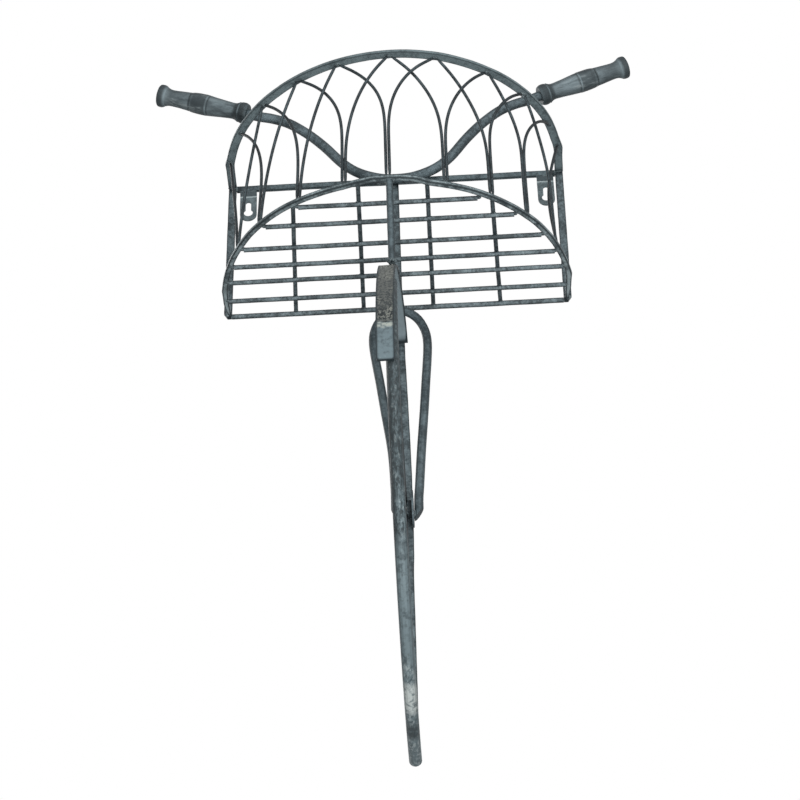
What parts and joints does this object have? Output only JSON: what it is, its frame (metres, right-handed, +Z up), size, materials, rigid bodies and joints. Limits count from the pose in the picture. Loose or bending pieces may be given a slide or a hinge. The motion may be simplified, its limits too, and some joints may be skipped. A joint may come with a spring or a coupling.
{
  "type": "bicycle planter",
  "caption": "Wall-hung planter basket of welded painted wire and bar, shaped as the front of a bicycle, with handlebar and grips above and half a spoked wheel, mudguard and fork below.",
  "frame": {"origin": "on the wall at the back face of the top back bar, midway between the corner posts and level with the middle of the rim band", "axes": "+Y into the wall, +Z up, +X to the right for someone facing the wall; the planter stands out from the wall towards -Y"},
  "size_m": [0.5332, 0.278, 0.8905],
  "materials": {
    "painted_wire": "satin blue-grey paint with a dark wash",
    "painted_bar": "satin blue-grey paint with a dark wash and pale wear on the edges",
    "painted_tube": "satin blue-grey paint with a dark wash",
    "worn_wheel_paint": "mottled blue-grey paint, worn pale in patches",
    "mottled_mudguard_paint": "rough mottled grey-brown paint",
    "washed_grip_paint": "grey-blue wash over turned wood"
  },
  "bodies": {
    "root": {"arch_wire_01": "painted_wire", "arch_wire_02": "painted_wire", "arch_wire_03": "painted_wire", "arch_wire_04": "painted_wire", "arch_wire_05": "painted_wire", "arch_wire_06": "painted_wire", "arch_wire_07": "painted_wire", "arch_wire_08": "painted_wire", "arch_wire_09": "painted_wire", "arch_wire_10": "painted_wire", "arch_wire_11": "painted_wire", "arch_wire_12": "painted_wire", "arch_wire_13": "painted_wire", "arch_wire_14": "painted_wire", "arch_wire_15": "painted_wire", "arch_wire_16": "painted_wire", "arch_wire_17": "painted_wire", "arch_wire_18": "painted_wire", "bottom_back_bar": "painted_wire", "corner_post_left": "painted_bar", "corner_post_right": "painted_bar", "cross_bar_1": "painted_wire", "cross_bar_2": "painted_wire", "cross_bar_3": "painted_wire", "cross_bar_4": "painted_wire", "cross_bar_5": "painted_wire", "cross_bar_6": "painted_wire", "floor_rod_1": "painted_wire", "floor_rod_2": "painted_wire", "floor_rod_3": "painted_wire", "floor_rod_4": "painted_wire", "fork": "painted_tube", "front_strut": "painted_tube", "grip_left": "washed_grip_paint", "grip_right": "washed_grip_paint", "handlebar": "painted_tube", "hub_barrel": "painted_tube", "hub_flange_left": "painted_bar", "hub_flange_right": "painted_bar", "keyhole_plate_left": "painted_bar", "keyhole_plate_right": "painted_bar", "lower_ring": "painted_bar", "mudguard": "mottled_mudguard_paint", "rim_band": "painted_bar", "spine_lower": "painted_bar", "spine_upper": "painted_bar", "spoke_1": "painted_wire", "spoke_2": "painted_wire", "spoke_3": "painted_wire", "spoke_4": "painted_wire", "top_back_bar": "painted_bar", "wheel_rim": "worn_wheel_paint"}
  },
  "joints": []
}
